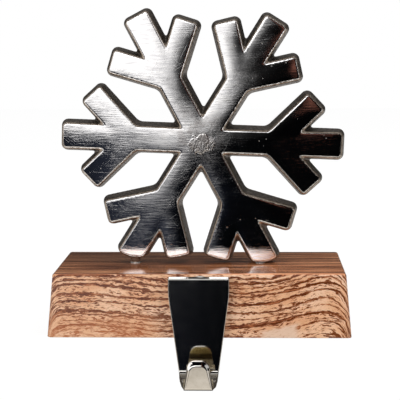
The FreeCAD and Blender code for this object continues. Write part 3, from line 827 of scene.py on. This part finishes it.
def hook_material():
    """Mirror polish, duller in the hook's hollow, whose colour is also darkened as painted shade, with
    painted reflection bands on the tongue's rear.
    """
    material, t, shader, mm = new_material("hook_metal_polish")
    y, z = t.parts(mm)[1:]
    uneven = t.noise(mm, 0.25, 3.0)
    colour = t.ramp(uneven, [(0.3, rgb(216, 212, 205)), (0.7, rgb(234, 231, 226))])
    shader.inputs["Metallic"].default_value = 1.0
    hollow = t.times(t.smooth(z, floor_top + 0.4, floor_top + 1.2, 1.0, 0.0),
                     t.smooth(y, tongue_front + 0.9, tongue_front + 1.3))
    rear = t.times(t.smooth(y, tongue_rear - 0.6, tongue_rear - 0.2),
                   t.smooth(y, tongue_rear + 0.4, tongue_rear + 0.8, 1.0, 0.0))
    rough = t.smooth(uneven, 0.2, 0.8, 0.045, 0.065)
    rough = t.math("MULTIPLY_ADD", t.math("MAXIMUM", hollow, rear), 0.30, rough)
    t.join(rough, shader.inputs["Roughness"])
    speckle = t.noise(mm, 2.2, 3.0)
    # Painted shade: the hollow's colour is darkened, on top of its duller polish.
    colour = t.mix(hollow, colour, t.ramp(speckle, [(0.3, rgb(118, 112, 104)), (0.7, rgb(146, 140, 130))]))
    # Painted reflection: pale, dark olive and gold bands up the tongue's rear, which show mirrored in the
    # plate.
    painted_reflection = t.ramp(t.share_of(z, -12.0, -3.6), [
        (0.20, rgb(236, 226, 200)), (0.34, rgb(226, 214, 184)), (0.42, rgb(84, 72, 50)),
        (0.60, rgb(92, 80, 56)), (0.72, rgb(200, 180, 120)),
    ])
    painted_reflection = t.mix(1.0, painted_reflection, t.ramp(speckle, [(0.36, rgb(190, 186, 176)), (0.60, (1, 1, 1))]), "MULTIPLY")
    t.join(t.mix(rear, colour, painted_reflection), shader.inputs["Base Color"])
    return material


def steel_material(name, thread_pitch=0.0):
    """Zinc plated steel, with a screw's thread in relief where a pitch is given, where the shank gets a
    painted glint just above the wood and painted brown shade above it.
    """
    material, t, shader, mm = new_material(name)
    x, y, z = t.parts(mm)
    grain = t.noise(mm, 1.5, 4.0)
    colour = t.ramp(grain, [(0.3, rgb(138, 136, 134)), (0.7, rgb(184, 182, 180))])
    shader.inputs["Metallic"].default_value = 0.5
    t.join(t.smooth(grain, 0.2, 0.8, 0.20, 0.34), shader.inputs["Roughness"])
    height = t.times(grain, 0.02)
    if thread_pitch:
        # Painted light: a near-white painted glint on the shank just above the wood, and painted brown shade
        # over the rest of the shank in the gap under the foot.
        painted_reflection = t.smooth(z, wood_top + 0.3, wood_top + 0.7)
        colour = t.mix(painted_reflection, rgb(240, 236, 230), rgb(150, 122, 104))
        around = t.math("ARCTAN2", t.math("ADD", y, 0.2), t.math("SINE", x))
        turns = t.times(around, 1 / (2 * math.pi))
        thread = t.math("PINGPONG", t.math("ADD", t.math("DIVIDE", z, thread_pitch), turns), 0.5)
        height = t.math("MULTIPLY_ADD", thread, 0.6, height)
    t.join(colour, shader.inputs["Base Color"])
    t.bump(shader, height)
    return material


def felt_material():
    material, t, shader, mm = new_material("pad_felt_fibres")
    fibres = t.noise(t.stretched(mm, (1.6, 5.0, 3.0), (0, 0, 0), (0, 0, 0.6)), 1.0, 4.0, 0.7, 1.2)
    t.join(t.ramp(fibres, [(0.32, rgb(24, 23, 22)), (0.68, rgb(58, 56, 54))]), shader.inputs["Base Color"])
    shader.inputs["Roughness"].default_value = 0.95
    shader.inputs["Specular IOR Level"].default_value = 0.2
    t.bump(shader, fibres, 0.7, 0.0003)
    return material


# The felt pad, with soft edges and a slightly uneven underside

def pad_ring():
    """The pad's rounded outline, cut into short steps."""
    loop = rounded([(-pad_half_x, -pad_half_y, pad_corner), (pad_half_x, -pad_half_y, pad_corner),
                    (pad_half_x, pad_half_y, pad_corner), (-pad_half_x, pad_half_y, pad_corner)], 9)
    ring = []
    for start, end in zip(loop, np.roll(loop, -1, 0)):
        steps = max(1, int(np.hypot(*(end - start)) / 1.5))
        ring += [start + (end - start) * i / steps for i in range(steps)]
    return np.array(ring)


def felt_pad():
    ring = pad_ring()
    size = np.array([pad_half_x, pad_half_y])
    shares = np.linspace(0.04, 1, 14)
    # Rings from the middle of the underside, round the edge, to the middle of the top
    layers = [(ring * share * (1 - 0.4 / size), 0.0) for share in shares]
    layers += [(ring * (1 - inset / size), z) for inset, z in ((0.12, 0.14), (0.0, 0.4), (0.12, 0.66))]
    layers += [(ring * share * (1 - 0.4 / size), pad_thickness) for share in shares[::-1]]
    points, quads, n = [], [], len(ring)
    for level, (plan, z) in enumerate(layers):
        wave = 0.05 * (1 + np.sin(plan[:, 0] * 0.9 + plan[:, 1] * 0.4)) * (1 + np.sin(plan[:, 1] * 1.3)) / 4
        inner = level < len(shares) - 1
        points += [(u, v, z + (w if inner else 0)) for (u, v), w in zip(plan, wave)]
        if level:
            low, high = (level - 1) * n, level * n
            quads += [(low + i, high + i, high + (i + 1) % n, low + (i + 1) % n) for i in range(n)]
    last = (len(layers) - 1) * n
    ends = [list(range(n)), [last + i for i in reversed(range(n))]]
    mesh = bpy.data.meshes.new("felt_pad")
    mesh.from_pydata((np.array(points) * MM).tolist(), [], quads + ends)
    mesh.polygons.foreach_set("use_smooth", [True] * len(mesh.polygons))
    piece = bpy.data.objects.new("felt_pad", mesh)
    bpy.context.scene.collection.objects.link(piece)
    return piece


# The scene

casting = snowflake_casting()
hook = cast_hook()
photo_camera()
bpy.context.scene.view_settings.view_transform = "Standard"
studio_world()
white_shelf()
area_light("key", (-0.9, -1.5, 0.75), (0, 0, 0.04), 0.7, 8.5)
area_light("above", (0.40, -0.15, 0.95), (0, 0, 0.03), 0.6, 5.5)
area_light("fill", (1.3, -1.2, 0.6), (0, 0, 0.04), 0.9, 5.5)

pad = felt_pad()
pad.data.materials.append(felt_material())
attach(pad, "root")
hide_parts("non_slip_pad")

steel = steel_material("zinc_steel_grain")
nodes["snowflake_washers"].data.materials[0] = steel
nodes["hook_screws"].data.materials[0] = steel
nodes["snowflake_screws"].data.materials[0] = steel_material("zinc_steel_thread", 0.7)
nodes["base_block"].data.materials[0] = wood_material()
hook.data.materials.append(hook_material())
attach(hook, "root")
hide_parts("hook")
casting.data.materials.append(casting_material())
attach(casting, "root")
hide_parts("snowflake")
